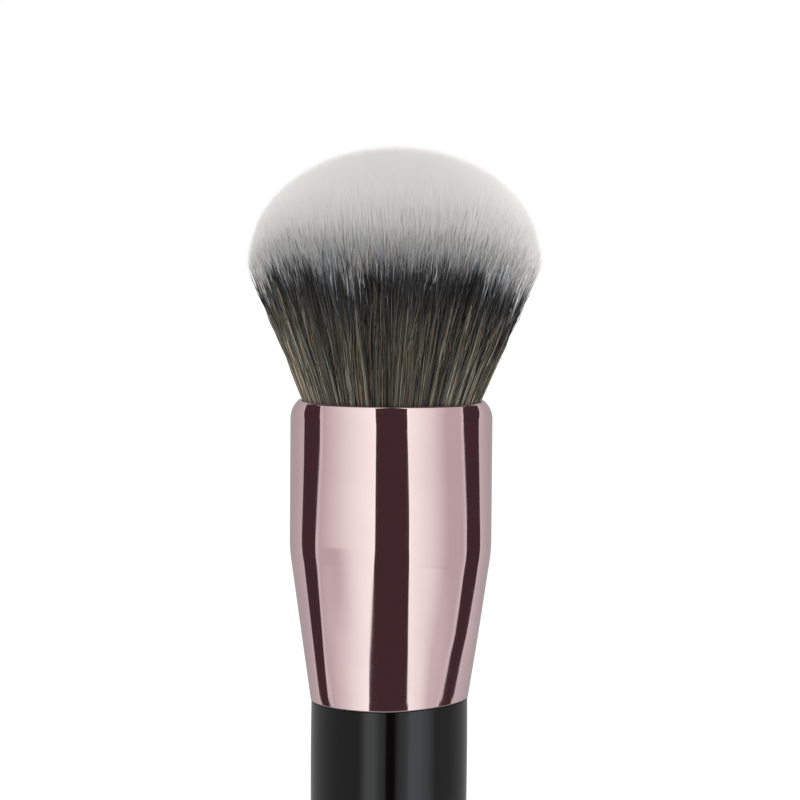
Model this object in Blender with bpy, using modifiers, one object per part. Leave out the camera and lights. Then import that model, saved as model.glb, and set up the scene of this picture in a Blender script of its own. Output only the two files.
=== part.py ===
"""A large round foundation brush with a short handle, standing on the flat end of the handle.

The real brush is made from few pieces. A turned wooden handle carries a tenon at its top. A thin
anodised aluminium ferrule slides over the tenon and is glued to it. The ferrule holds a knot of
synthetic fibres: their roots are bound with thread, potted in resin and set in a small aluminium
cup, and the fibres flare out through the rounded lip of the ferrule into a domed head.

The origin is the middle of the handle's flat end, +Z runs up the brush, and the unit is the metre.
"""

import math

import bmesh
import bpy

MM = 0.001

# The gap that two separate solids keep where the real ones touch.
CLEARANCE = 0.3 * MM

# Handle, from its flat end up to the shoulder that the ferrule butts against.
HANDLE_LENGTH = 69.0 * MM
HANDLE_SHOULDER_DIAMETER = 21.5 * MM
HANDLE_SHOULDER_CHAMFER = 0.2 * MM
HANDLE_BELLY_DIAMETER = 21.7 * MM
HANDLE_BELLY_DROP = 7.0 * MM
HANDLE_END_DIAMETER = 18.6 * MM
HANDLE_TAPER_POWER = 1.7
HANDLE_END_RADIUS = 2.2 * MM
TENON_CHAMFER = 0.8 * MM
TENON_GROOVE_COUNT = 3
TENON_GROOVE_WIDTH = 2.2 * MM
TENON_GROOVE_DEPTH = 0.9 * MM

# Ferrule: straight above, a cone below, with a rounded shoulder that ends in the lip.
FERRULE_LENGTH = 41.5 * MM
FERRULE_DIAMETER = 27.8 * MM
FERRULE_MOUTH_DIAMETER = 21.7 * MM
FERRULE_WALL = 0.5 * MM
FERRULE_STRAIGHT_LENGTH = 20.2 * MM
FERRULE_BEND_LENGTH = 3.3 * MM
LIP_REACH = 1.4 * MM
LIP_DROP = 2.1 * MM

# Knot: what holds the roots of the fibres inside the ferrule.
KNOT_DEPTH = 17.0 * MM
ROOT_SLICE_HEIGHT = 2.5 * MM
RESIN_HEIGHT = 3.5 * MM
CUP_HEIGHT = 12.0 * MM
CUP_WALL = 0.5 * MM
THREAD_HEIGHT = 2.4 * MM
THREAD_THICKNESS = 0.4 * MM
THREAD_RISE = 0.8 * MM
KNOT_GLUE_HEIGHT = 8.0 * MM
KNOT_GLUE_THICKNESS = 0.5 * MM

# Head: the free fibres, from the lip out to the crown and up to the top of the dome.
HEAD_DIAMETER = 40.0 * MM
CROWN_HEIGHT = 19.2 * MM
DOME_HEIGHT = 15.3 * MM
DYE_HEIGHT = 14.0 * MM
TIP_LENGTH = 1.2 * MM

# Strands stand in circles round a middle one, and each circle holds six more than the one inside it.
# Each tuft takes its own circles, from the middle out. A strand's radius at each height is a share
# of the step between circles.
CORE_CIRCLE_COUNT = 3
INNER_CIRCLE_COUNT = 3
MIDDLE_CIRCLE_COUNT = 2
OUTER_CIRCLE_COUNT = 2
ADDED_STRAND_COUNT = 6
ROOT_FILL = 0.24
LIP_FILL = 0.42
CROWN_FILL = 0.50
TIP_FILL = 0.44
STRAND_SIDES = 3

# Facets round the axis, and points along the curved stretches of a profile.
ROUND_STEPS = 48
KNOT_STEPS = 32
ROOT_STEPS = 24
HANDLE_POINTS = 8
EDGE_POINTS = 5
LIP_POINTS = 7
BEND_POINTS = 4
GOLDEN_ANGLE = math.pi * (3 - math.sqrt(5))

# Heights that follow from the sizes above, going up to the lip and then down inside the ferrule.
SHOULDER_Z = HANDLE_LENGTH
MOUTH_Z = SHOULDER_Z + CLEARANCE
LIP_Z = MOUTH_Z + FERRULE_LENGTH
BEND_Z = LIP_Z - FERRULE_STRAIGHT_LENGTH
DYE_Z = LIP_Z + DYE_HEIGHT
CROWN_Z = LIP_Z + CROWN_HEIGHT
ROOT_Z = LIP_Z - KNOT_DEPTH
ROOT_TOP_Z = ROOT_Z + ROOT_SLICE_HEIGHT
THREAD_Z = ROOT_TOP_Z + THREAD_RISE
THREAD_TOP_Z = THREAD_Z + THREAD_HEIGHT
RESIN_TOP_Z = ROOT_Z - CLEARANCE
RESIN_Z = RESIN_TOP_Z - RESIN_HEIGHT
CUP_FLOOR_Z = RESIN_Z - CLEARANCE
CUP_Z = CUP_FLOOR_Z - CUP_WALL
CUP_TOP_Z = CUP_Z + CUP_HEIGHT
KNOT_GLUE_Z = CUP_TOP_Z - KNOT_GLUE_HEIGHT
TENON_Z = CUP_Z - CLEARANCE

STRAND_CIRCLES = CORE_CIRCLE_COUNT + INNER_CIRCLE_COUNT + MIDDLE_CIRCLE_COUNT + OUTER_CIRCLE_COUNT
FERRULE_RADIUS = FERRULE_DIAMETER / 2
MOUTH_RADIUS = FERRULE_MOUTH_DIAMETER / 2
LIP_RADIUS = FERRULE_RADIUS - LIP_REACH
HEAD_RADIUS = HEAD_DIAMETER / 2
TENON_RADIUS = MOUTH_RADIUS - FERRULE_WALL - CLEARANCE


def cone_radius(height):
    """The outer radius of the ferrule's cone, from the mouth up to where it meets the straight part."""
    share = (height - MOUTH_Z) / (BEND_Z - MOUTH_Z)
    return MOUTH_RADIUS + (FERRULE_RADIUS - MOUTH_RADIUS) * share


def ferrule_radius(height):
    """The ferrule's outer radius below its lip, where a parabola eases the cone into the straight part."""
    top = BEND_Z + FERRULE_BEND_LENGTH
    low = BEND_Z - FERRULE_BEND_LENGTH
    if height >= top:
        return FERRULE_RADIUS
    if height <= low:
        return cone_radius(height)
    share = (top - height) / (top - low)
    return FERRULE_RADIUS + (cone_radius(low) - FERRULE_RADIUS) * share**2


def seat_radius(height):
    """The largest radius that a piece inside the ferrule can have at a height."""
    return ferrule_radius(height) - FERRULE_WALL - CLEARANCE


# The knot's pieces nest inside the ferrule, from the glue in to the thread.
KNOT_GLUE_BORE = seat_radius(CUP_TOP_Z) - KNOT_GLUE_THICKNESS
CUP_RADIUS = min(KNOT_GLUE_BORE - CLEARANCE, seat_radius(CUP_Z))
CUP_BORE = CUP_RADIUS - CUP_WALL
THREAD_RADIUS = CUP_BORE - CLEARANCE
THREAD_BORE = THREAD_RADIUS - THREAD_THICKNESS


def strand_circle(limit, fill):
    """The outermost circle of strands whose outer corners stay inside a limiting radius."""
    return limit / (1 + fill / STRAND_CIRCLES)


def root_circle():
    """The outermost circle at the roots, set so that the flaring strands just clear the thread."""
    at_thread = strand_circle(THREAD_BORE - CLEARANCE, LIP_FILL)
    way = (THREAD_TOP_Z - ROOT_TOP_Z) / (LIP_Z - ROOT_TOP_Z)
    return (at_thread - way * LIP_CIRCLE) / (1 - way)


LIP_CIRCLE = strand_circle(LIP_RADIUS - CLEARANCE, LIP_FILL)
CROWN_CIRCLE = strand_circle(HEAD_RADIUS, CROWN_FILL)
DYE_CIRCLE = LIP_CIRCLE + (CROWN_CIRCLE - LIP_CIRCLE) * DYE_HEIGHT / CROWN_HEIGHT
ROOT_CIRCLE = root_circle()
ROOT_STEP = ROOT_CIRCLE / STRAND_CIRCLES
ROOT_MARGIN = (ROOT_STEP - CLEARANCE) / 2

# A tuft's finishes: the resin that binds its roots, then the fibre's colours from root to tip.
RESIN, TAUPE, BLACK, WHITE = range(4)


def material(name, colour, roughness, metallic=0.0):
    """A plain Principled material."""
    made = bpy.data.materials.new(name)
    made.use_nodes = True
    shader = made.node_tree.nodes["Principled BSDF"]
    shader.inputs["Base Color"].default_value = (*colour, 1.0)
    shader.inputs["Roughness"].default_value = roughness
    shader.inputs["Metallic"].default_value = metallic
    made.diffuse_color = (*colour, 1.0)
    return made


def collection(name):
    made = bpy.data.collections.new(name)
    bpy.context.scene.collection.children.link(made)
    return made


def spread(start, end, points):
    """Evenly spaced values from start to end, both included."""
    return [start + (end - start) * i / (points - 1) for i in range(points)]


def arc(centre, radii, start, end, points):
    """Points (radius, height) on an elliptical arc, from one angle to another, in degrees."""
    angles = [math.radians(angle) for angle in spread(start, end, points)]
    return [(centre[0] + radii[0] * math.cos(a), centre[1] + radii[1] * math.sin(a)) for a in angles]


def turned(name, profile, closed, steps, finish, home):
    """A solid of revolution about Z, from a profile of (radius, height) points by a Screw modifier.

    The profile runs down its outer side. An open one starts and ends on the axis, and a closed one
    comes back up its inner side.
    """
    mesh = bpy.data.meshes.new(name)
    count = len(profile)
    edges = [(i, (i + 1) % count) for i in range(count if closed else count - 1)]
    mesh.from_pydata([(radius, 0.0, height) for radius, height in profile], edges, [])
    mesh.materials.append(finish)
    made = bpy.data.objects.new(name, mesh)
    home.objects.link(made)
    screw = made.modifiers.new("Turning", "SCREW")
    screw.axis = "Z"
    screw.steps = steps
    screw.render_steps = steps
    screw.use_merge_vertices = True
    screw.merge_threshold = 0.00001
    screw.use_smooth_shade = True
    return made


def turned_disc(name, radius, low, top, steps, finish, home):
    profile = [(0.0, top), (radius, top), (radius, low), (0.0, low)]
    return turned(name, profile, False, steps, finish, home)


def turned_band(name, bore, outer, low, top, steps, finish, home):
    """A band with a straight bore. Its outer radius is given at its bottom and at its top."""
    profile = [(outer[1], top), (outer[0], low), (bore, low), (bore, top)]
    return turned(name, profile, True, steps, finish, home)


def handle_radius(height):
    """The handle swells a little below its shoulder and narrows slowly towards its end."""
    belly_z = HANDLE_LENGTH - HANDLE_BELLY_DROP
    belly = HANDLE_BELLY_DIAMETER / 2
    if height > belly_z:
        share = (height - belly_z) / HANDLE_BELLY_DROP
        return belly + (HANDLE_SHOULDER_DIAMETER / 2 - belly) * share**2
    share = (belly_z - height) / belly_z
    return belly + (HANDLE_END_DIAMETER / 2 - belly) * share**HANDLE_TAPER_POWER


def groove_heights():
    """The middles of the tenon's grooves, from the highest down."""
    return spread(TENON_Z, SHOULDER_Z, TENON_GROOVE_COUNT + 2)[1:-1]


def handle(home, lacquer):
    """The handle with its tenon, whose grooves the glue keys into."""
    profile = [
        (0.0, TENON_Z),
        (TENON_RADIUS - TENON_CHAMFER, TENON_Z),
        (TENON_RADIUS, TENON_Z - TENON_CHAMFER),
    ]
    floor = TENON_RADIUS - TENON_GROOVE_DEPTH
    for middle in groove_heights():
        top = middle + TENON_GROOVE_WIDTH / 2
        low = middle - TENON_GROOVE_WIDTH / 2
        profile += [(TENON_RADIUS, top), (floor, top), (floor, low), (TENON_RADIUS, low)]
    shoulder = HANDLE_SHOULDER_DIAMETER / 2
    profile += [
        (TENON_RADIUS, SHOULDER_Z),
        (shoulder - HANDLE_SHOULDER_CHAMFER, SHOULDER_Z),
        (shoulder, SHOULDER_Z - HANDLE_SHOULDER_CHAMFER),
    ]
    top = SHOULDER_Z - HANDLE_BELLY_DROP / 2
    profile += [(handle_radius(height), height) for height in spread(top, HANDLE_END_RADIUS, HANDLE_POINTS)]
    centre = (handle_radius(HANDLE_END_RADIUS) - HANDLE_END_RADIUS, HANDLE_END_RADIUS)
    profile += arc(centre, (HANDLE_END_RADIUS, HANDLE_END_RADIUS), 0, -90, EDGE_POINTS)[1:]
    profile.append((0.0, 0.0))
    return turned("handle", profile, False, ROUND_STEPS, lacquer, home)


def ferrule(home, anodised):
    """The shell: down its outer side from the lip to the mouth, and back up its inner side."""
    edge = FERRULE_WALL / 2
    centre = (LIP_RADIUS + edge, LIP_Z - LIP_DROP)
    outer = (FERRULE_RADIUS - centre[0], LIP_DROP)
    inner = (outer[0] - FERRULE_WALL, outer[1] - FERRULE_WALL)
    heights = spread(BEND_Z + FERRULE_BEND_LENGTH, BEND_Z - FERRULE_BEND_LENGTH, BEND_POINTS)
    bend = [(ferrule_radius(height), height) for height in heights]
    profile = arc(centre, outer, 90, 0, LIP_POINTS) + bend
    profile += arc((MOUTH_RADIUS - edge, MOUTH_Z + edge), (edge, edge), 0, -180, EDGE_POINTS)
    profile += [(radius - FERRULE_WALL, height) for radius, height in reversed(bend)]
    profile += arc(centre, inner, 0, 90, EDGE_POINTS)
    profile += arc((centre[0], LIP_Z - edge), (edge, edge), 270, 90, EDGE_POINTS)[1:-1]
    return turned("ferrule", profile, True, ROUND_STEPS, anodised, home)


def knot_cup(home, aluminium):
    profile = [
        (0.0, CUP_FLOOR_Z),
        (CUP_BORE, CUP_FLOOR_Z),
        (CUP_BORE, CUP_TOP_Z),
        (CUP_RADIUS, CUP_TOP_Z),
        (CUP_RADIUS, CUP_FLOOR_Z),
        (CUP_RADIUS - CUP_WALL, CUP_Z),
        (0.0, CUP_Z),
    ]
    return turned("knot_cup", profile, False, KNOT_STEPS, aluminium, home)


def tenon_glue(home, glue):
    """A ring of glue in each groove of the tenon, out to the ferrule's bore."""
    bore = TENON_RADIUS - TENON_GROOVE_DEPTH + CLEARANCE
    for number, middle in enumerate(groove_heights(), 1):
        low = middle - TENON_GROOVE_WIDTH / 2 + CLEARANCE
        top = middle + TENON_GROOVE_WIDTH / 2 - CLEARANCE
        outer = (seat_radius(low), seat_radius(top))
        turned_band(f"tenon_glue_{number}", bore, outer, low, top, KNOT_STEPS, glue, home)


def dome_z(distance):
    """The height of the dome, half an ellipsoid, at a distance from the axis."""
    return CROWN_Z + DOME_HEIGHT * math.sqrt(max(0.0, 1 - (distance / HEAD_RADIUS) ** 2))


def strand_path(circle):
    """The stations of a strand below its tip: distance from the axis, height, radius, and the finish
    of the stretch above.

    At each height a strand keeps its share of the bundle's width, so none cross. Only the outer
    strands, whose sides show, bend again at the crown, and only the outermost have a dyed stretch.
    """
    bends = circle >= STRAND_CIRCLES - 1

    def station(bundle, height, fill, finish):
        step = bundle / STRAND_CIRCLES
        return circle * step, height, fill * step, finish

    path = [
        station(ROOT_CIRCLE, (ROOT_Z + ROOT_TOP_Z) / 2, ROOT_FILL, TAUPE),
        station(LIP_CIRCLE, LIP_Z, LIP_FILL, TAUPE if bends else WHITE),
    ]
    if circle == STRAND_CIRCLES:
        path.append(station(DYE_CIRCLE, DYE_Z, CROWN_FILL, BLACK))
    if bends:
        path.append(station(CROWN_CIRCLE, CROWN_Z, CROWN_FILL, WHITE))
    return path


def add_strand(bm, circle, angle):
    """A three-sided strand lofted through its stations.

    Its shoulders follow the slope of the dome, and it ends in a point on the dome.
    """
    turns = [angle + 2 * math.pi * i / STRAND_SIDES for i in range(STRAND_SIDES)]

    def section(distance, radius):
        x = distance * math.cos(angle)
        y = distance * math.sin(angle)
        return [(x + radius * math.cos(turn), y + radius * math.sin(turn)) for turn in turns]

    path = strand_path(circle)
    rings = [[(x, y, height) for x, y in section(distance, radius)] for distance, height, radius, _ in path]
    step = CROWN_CIRCLE / STRAND_CIRCLES
    middle = circle * step
    shoulders = section(middle, TIP_FILL * step)
    rings.append([(x, y, dome_z(math.hypot(x, y)) - TIP_LENGTH) for x, y in shoulders])
    rings = [[bm.verts.new(corner) for corner in ring] for ring in rings]
    tip = bm.verts.new((middle * math.cos(angle), middle * math.sin(angle), dome_z(middle)))
    bm.faces.new(rings[0][::-1])
    for i in range(STRAND_SIDES):
        j = (i + 1) % STRAND_SIDES
        for lower, upper, station in zip(rings, rings[1:], path):
            bm.faces.new((lower[i], lower[j], upper[j], upper[i])).material_index = station[3]
        bm.faces.new((rings[-1][i], rings[-1][j], tip)).material_index = WHITE


def strands(name, first, last, helpers, finishes):
    """The strands of the circles from first to last, as one helper object."""
    bm = bmesh.new()
    for circle in range(first, last + 1):
        count = max(1, circle * ADDED_STRAND_COUNT)
        for number in range(count):
            add_strand(bm, circle, circle * GOLDEN_ANGLE + 2 * math.pi * number / count)
    mesh = bpy.data.meshes.new(name)
    bm.to_mesh(mesh)
    bm.free()
    for finish in finishes:
        mesh.materials.append(finish)
    made = bpy.data.objects.new(name, mesh)
    helpers.objects.link(made)
    made.hide_render = True
    made.display_type = "WIRE"
    return made


def tuft(name, first, last, home, helpers, finishes):
    """A ring of strands fused to its own slice of the resin-bound roots."""
    rim = last * ROOT_STEP + ROOT_MARGIN
    bore = first * ROOT_STEP - ROOT_MARGIN
    root = finishes[RESIN]
    if first == 0:
        made = turned_disc(name, rim, ROOT_Z, ROOT_TOP_Z, ROOT_STEPS, root, home)
    else:
        made = turned_band(name, bore, (rim, rim), ROOT_Z, ROOT_TOP_Z, ROOT_STEPS, root, home)
    for finish in finishes[TAUPE:]:
        made.data.materials.append(finish)
    join = made.modifiers.new("Strands", "BOOLEAN")
    join.operation = "UNION"
    join.solver = "EXACT"
    join.object = strands(name + "_strands", first, last, helpers, finishes)
    return made


def main():
    for old in list(bpy.data.objects):
        bpy.data.objects.remove(old, do_unlink=True)
    brush = collection("foundation_brush")
    helpers = collection("helpers")

    lacquer = material("black_lacquer", (0.006, 0.006, 0.007), 0.18)
    anodised = material("rose_gold", (0.72, 0.44, 0.45), 0.08, 1.0)
    aluminium = material("aluminium", (0.75, 0.75, 0.76), 0.35, 1.0)
    resin = material("amber_resin", (0.45, 0.28, 0.10), 0.25)
    thread = material("white_thread", (0.72, 0.70, 0.66), 0.85)
    glue = material("clear_glue", (0.62, 0.58, 0.45), 0.40)
    fibres = (
        resin,
        material("taupe_fibre", (0.085, 0.070, 0.055), 0.55),
        material("black_fibre", (0.012, 0.013, 0.015), 0.50),
        material("white_fibre", (0.66, 0.64, 0.60), 0.70),
    )

    handle(brush, lacquer)
    tenon_glue(brush, glue)
    ferrule(brush, anodised)
    outer = (seat_radius(KNOT_GLUE_Z), seat_radius(CUP_TOP_Z))
    turned_band("knot_glue", KNOT_GLUE_BORE, outer, KNOT_GLUE_Z, CUP_TOP_Z, KNOT_STEPS, glue, brush)
    knot_cup(brush, aluminium)
    turned_disc("root_resin", CUP_BORE - CLEARANCE, RESIN_Z, RESIN_TOP_Z, KNOT_STEPS, resin, brush)
    outer = (THREAD_RADIUS, THREAD_RADIUS)
    turned_band("binding_thread", THREAD_BORE, outer, THREAD_Z, THREAD_TOP_Z, KNOT_STEPS, thread, brush)
    tufts = {
        "bristles_core": CORE_CIRCLE_COUNT,
        "bristles_inner": INNER_CIRCLE_COUNT,
        "bristles_middle": MIDDLE_CIRCLE_COUNT,
        "bristles_outer": OUTER_CIRCLE_COUNT,
    }
    first = 0
    last = 0
    for name, circles in tufts.items():
        last += circles
        tuft(name, first, last, brush, helpers, fibres)
        first = last + 1


main()
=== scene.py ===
# %% [markdown]
# # Dressing a foundation brush
#
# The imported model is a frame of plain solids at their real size. Each step below takes one thing that a
# maker would name, such as the ferrule or the fibres, and gives it the surface that the real one has. A
# new piece sits exactly where the plain solid sits, and then stands in for it.

import math

import bpy
import numpy as np
from mathutils import Matrix, Vector


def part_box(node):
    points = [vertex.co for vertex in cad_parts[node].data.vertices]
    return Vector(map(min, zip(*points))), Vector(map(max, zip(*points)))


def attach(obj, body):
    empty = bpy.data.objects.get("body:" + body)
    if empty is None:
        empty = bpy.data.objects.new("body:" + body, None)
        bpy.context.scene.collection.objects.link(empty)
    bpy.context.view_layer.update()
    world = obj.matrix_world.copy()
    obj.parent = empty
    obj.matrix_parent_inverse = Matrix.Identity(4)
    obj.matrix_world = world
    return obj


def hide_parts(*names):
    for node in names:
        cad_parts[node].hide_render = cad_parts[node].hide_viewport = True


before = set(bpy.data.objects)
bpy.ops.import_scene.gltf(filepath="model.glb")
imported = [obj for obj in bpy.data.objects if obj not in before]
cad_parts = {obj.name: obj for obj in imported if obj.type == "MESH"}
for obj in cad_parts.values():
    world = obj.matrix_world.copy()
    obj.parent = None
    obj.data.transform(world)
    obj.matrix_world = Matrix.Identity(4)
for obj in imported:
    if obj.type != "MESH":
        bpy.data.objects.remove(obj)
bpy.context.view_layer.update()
MM = 0.001
print("nodes:", ", ".join(sorted(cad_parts)))

# %% [markdown]
# ## Sizes that the pieces share
#
# A corner of a node's box gives most of what is needed: where the handle ends, where the lip is, how wide
# the head is. Sizes that a box can't show, such as the width of a rounded edge, are written here once, in
# millimetres as a maker would give them.

# %% Read the heights and radii from the frame
SHOULDER_Z = 69.4 * MM
TENON_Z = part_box("handle")[1].z
BELLY_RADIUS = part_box("handle")[1].x
MOUTH_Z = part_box("ferrule")[0].z
LIP_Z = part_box("ferrule")[1].z
FERRULE_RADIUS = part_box("ferrule")[1].x
ROOT_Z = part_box("bristles_outer")[0].z
TOP_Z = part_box("bristles_core")[1].z
HEAD_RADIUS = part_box("bristles_outer")[1].x
print(f"lip at {LIP_Z / MM:.1f} mm, top at {TOP_Z / MM:.1f} mm, head {2 * HEAD_RADIUS / MM:.1f} mm across")

# %% [markdown]
# ## The camera
#
# The photograph looks almost straight at the brush from a little above the top of its head, through a long
# lens, so the ferrule's edges are only slightly curved. The brush leans to the right by less than a degree,
# which is a roll of the camera.

# %% Place the camera
CAMERA_DISTANCE = 520 * MM
CAMERA_ELEVATION = 4.2
CAMERA_ROLL = 0.45
PIXELS_PER_SIDE = 800
FOCAL_PIXELS = 3783
SENSOR_WIDTH = 36.0
CLIP_NEAR, CLIP_FAR = 0.01, 20.0
LOOK_AT = (1.15 * MM, 0.0, LIP_Z + 0.4 * MM)


def make_camera():
    """The camera looks along +Y and down by its elevation, from a distance, at one point of the brush."""
    data = bpy.data.cameras.new("camera")
    data.sensor_width = SENSOR_WIDTH
    data.lens = FOCAL_PIXELS / PIXELS_PER_SIDE * SENSOR_WIDTH
    data.clip_start = CLIP_NEAR
    data.clip_end = CLIP_FAR
    made = bpy.data.objects.new("camera", data)
    tilt = math.radians(CAMERA_ELEVATION)
    made.location = (
        LOOK_AT[0],
        LOOK_AT[1] - CAMERA_DISTANCE * math.cos(tilt),
        LOOK_AT[2] + CAMERA_DISTANCE * math.sin(tilt),
    )
    aim = Matrix.Rotation(math.pi / 2 - tilt, 3, "X") @ Matrix.Rotation(math.radians(CAMERA_ROLL), 3, "Z")
    made.rotation_euler = aim.to_euler()
    return made


camera = make_camera()
scene = bpy.context.scene
scene.collection.objects.link(camera)
scene.camera = camera
scene.view_settings.view_transform = "Standard"
print(f"lens {camera.data.lens:.1f} mm, camera at {[round(c, 3) for c in camera.location]}")

# %% [markdown]
# ## Helpers for meshes
#
# Every new piece is a surface: rows and columns of points worked out at once as arrays, and then faces that
# join neighbouring points. One helper puts points and faces into a mesh, one finds points round the axis,
# and one reads a mesh's points back.

# %% Put points and faces into a mesh


def mesh_object(name, points, quads, triangles=()):
    """A smooth-shaded mesh object from points, four-sided faces and three-sided faces."""
    quads = np.asarray(quads, np.int32).reshape(-1, 4)
    triangles = np.asarray(triangles, np.int32).reshape(-1, 3)
    corners = np.concatenate([quads.ravel(), triangles.ravel()])
    sizes = np.concatenate([np.full(len(quads), 4), np.full(len(triangles), 3)])
    mesh = bpy.data.meshes.new(name)
    mesh.vertices.add(len(points))
    mesh.vertices.foreach_set("co", np.asarray(points, np.float32).ravel())
    mesh.loops.add(len(corners))
    mesh.loops.foreach_set("vertex_index", corners)
    mesh.polygons.add(len(sizes))
    mesh.polygons.foreach_set("loop_start", np.cumsum(sizes) - sizes)
    mesh.update(calc_edges=True)
    mesh.shade_smooth()
    made = bpy.data.objects.new(name, mesh)
    scene.collection.objects.link(made)
    return made


def around_axis(radii, turns, heights):
    """Points round the brush's axis: x is the radius times the cosine of the turn, y the radius times its
    sine, and z the height."""
    x, y, z = np.broadcast_arrays(radii * np.cos(turns), radii * np.sin(turns), heights)
    return np.stack([x, y, z], axis=-1).reshape(-1, 3)


def vertex_values(mesh, what):
    """A row of three numbers for each vertex: its place, "co", or its normal, "normal"."""
    values = np.empty(len(mesh.vertices) * 3)
    mesh.vertices.foreach_get(what, values)
    return values.reshape(-1, 3)


# %% [markdown]
# The handle and the ferrule are turned shapes, so a profile drawn once and turned round the brush's axis
# gives all of each. A profile's round stretches are arcs.

# %% Turn a profile round the axis
ROUND_STEPS = 192


def turned(name, profile, closed):
    """A profile of (radius, height) points turned round the axis.

    The profile runs down the outer side. A closed one comes back up inside, and an open one starts and
    ends on the axis, where its ring shrinks to a single point joined by a fan of triangles.
    """
    profile = np.asarray(profile)
    rings = profile if closed else profile[1:-1]
    turns = np.arange(ROUND_STEPS) * 2 * math.pi / ROUND_STEPS
    points = around_axis(rings[:, :1], turns, rings[:, 1:])
    upper = np.arange(len(points)).reshape(-1, ROUND_STEPS)
    lower = np.roll(upper, -1, axis=0)
    if not closed:
        upper, lower = upper[:-1], lower[:-1]
    quads = np.stack([upper, lower, np.roll(lower, -1, axis=1), np.roll(upper, -1, axis=1)], axis=-1)
    fans = []
    if not closed:
        top, low = len(points), len(points) + 1
        poles = [(0.0, 0.0, profile[0, 1]), (0.0, 0.0, profile[-1, 1])]
        points = np.concatenate([points, poles])
        first = np.arange(ROUND_STEPS)
        last = first + top - ROUND_STEPS
        fans = np.concatenate([
            np.stack([np.full(ROUND_STEPS, top), first, np.roll(first, -1)], axis=-1),
            np.stack([np.full(ROUND_STEPS, low), np.roll(last, -1), last], axis=-1),
        ])
    return mesh_object(name, points, quads, fans)


def arc(centre, radii, start, end, count):
    """Points on an elliptical arc of a profile, from one angle to another, in degrees: the centre plus
    the radii times the angle's cosine and sine."""
    angles = np.radians(np.linspace(start, end, count))
    return np.stack([centre[0] + radii[0] * np.cos(angles), centre[1] + radii[1] * np.sin(angles)], axis=-1)


# %% [markdown]
# ## Helpers for finishes
#
# A finish is a small network of nodes that ends in a Principled shader. Numbers that are the same all over
# the surface are set on the shader itself. What varies, such as a faint change of gloss, comes from noise
# that reads Object coordinates, so it stays on the brush when the camera moves.

# %% Build node networks


def wire(tree, made, links=None, **values):
    """Sets a node's sockets from values, and feeds its sockets from other nodes' outputs."""
    for socket, value in values.items():
        made.inputs[socket.replace("_", " ")].default_value = value
    for socket, output in (links or {}).items():
        tree.links.new(output, made.inputs[socket])
    return made


def new_node(tree, kind, links=None, **values):
    """Adds a node and wires it."""
    return wire(tree, tree.nodes.new(kind), links, **values)


def new_finish(name, roughness=0.5, metallic=0.0):
    """A material with a plain Principled shader. Returns the material, its tree of nodes and the shader."""
    made = bpy.data.materials.new(name)
    made.use_nodes = True
    tree = made.node_tree
    shader = wire(tree, tree.nodes["Principled BSDF"], Roughness=roughness, Metallic=metallic)
    return made, tree, shader


def ramp(tree, factor, stops):
    """A colour ramp with stops of (position, colour), read at a factor."""
    made = tree.nodes.new("ShaderNodeValToRGB")
    tree.links.new(factor, made.inputs["Fac"])
    elements = made.color_ramp.elements
    for index, (position, colour) in enumerate(stops):
        element = elements[index] if index < 2 else elements.new(position)
        element.position = position
        element.color = (*colour, 1.0)
    return made.outputs["Color"]


def stretched_noise(tree, stretch, scale, detail=3.0):
    """Noise on Object coordinates, stretched by a factor along each axis."""
    where = new_node(tree, "ShaderNodeTexCoord")
    mapping = new_node(tree, "ShaderNodeMapping", {"Vector": where.outputs["Object"]}, Scale=stretch)
    stretched = {"Vector": mapping.outputs["Vector"]}
    return new_node(tree, "ShaderNodeTexNoise", stretched, Scale=scale, Detail=detail).outputs["Fac"]


def between(tree, factor, low, high):
    """A number that follows a noise, from low to high."""
    made = new_node(tree, "ShaderNodeMapRange", {"Value": factor}, To_Min=low, To_Max=high)
    return made.outputs["Result"]


def bump(tree, height, distance, strength):
    """A normal that leans as if a height stood out by a distance, in metres."""
    made = new_node(tree, "ShaderNodeBump", {"Height": height}, Distance=distance, Strength=strength)
    return made.outputs["Normal"]


# %% [markdown]
# ## The handle
#
# The real handle is turned from wood, primed, sprayed with black lacquer and polished, so it is as smooth as
# glass. Its shape is one profile: a little belly under the shoulder, then a slow taper to a flat end with a
# rounded edge. Above the shoulder is the tenon that the ferrule hides, with the grooves that hold its glue.
# A profile turned round the axis gives all of it, and nothing else would be as even. On the photograph the
# line where the ferrule meets the handle stands higher at the right, so that ring of points is then lifted.

# %% Turn the handle
SHOULDER_RADIUS = 10.78 * MM
SHOULDER_EDGE = 0.08 * MM
BELLY_Z = SHOULDER_Z - 7.0 * MM
END_RADIUS = 9.3 * MM
END_EDGE = 2.2 * MM
TAPER_POWER = 1.7
TENON_RADIUS = 10.05 * MM
TENON_CHAMFER = 0.8 * MM
GROOVE_COUNT = 3
GROOVE_WIDTH = 2.2 * MM
GROOVE_DEPTH = 0.9 * MM
RIGHT_RISE = 0.74 * MM
LEFT_RISE = 0.15 * MM
RISE_SOFTNESS = 0.02
HANDLE_EASE = 4.0 * MM
TINY = 1e-9
JUST_PAST = 1.001
EDGE_POINTS = 6
BODY_POINTS = 70
END_POINTS = 14


def handle_radius(height):
    """Above the belly, a parabola to the shoulder. Below it, a power curve that narrows to the end."""
    above = (height - BELLY_Z) / (SHOULDER_Z - BELLY_Z)
    below = np.maximum(BELLY_Z - height, 0.0) / BELLY_Z
    upper = BELLY_RADIUS + (SHOULDER_RADIUS - BELLY_RADIUS) * above**2
    lower = BELLY_RADIUS + (END_RADIUS - BELLY_RADIUS) * below**TAPER_POWER
    return np.where(height > BELLY_Z, upper, lower)


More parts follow.
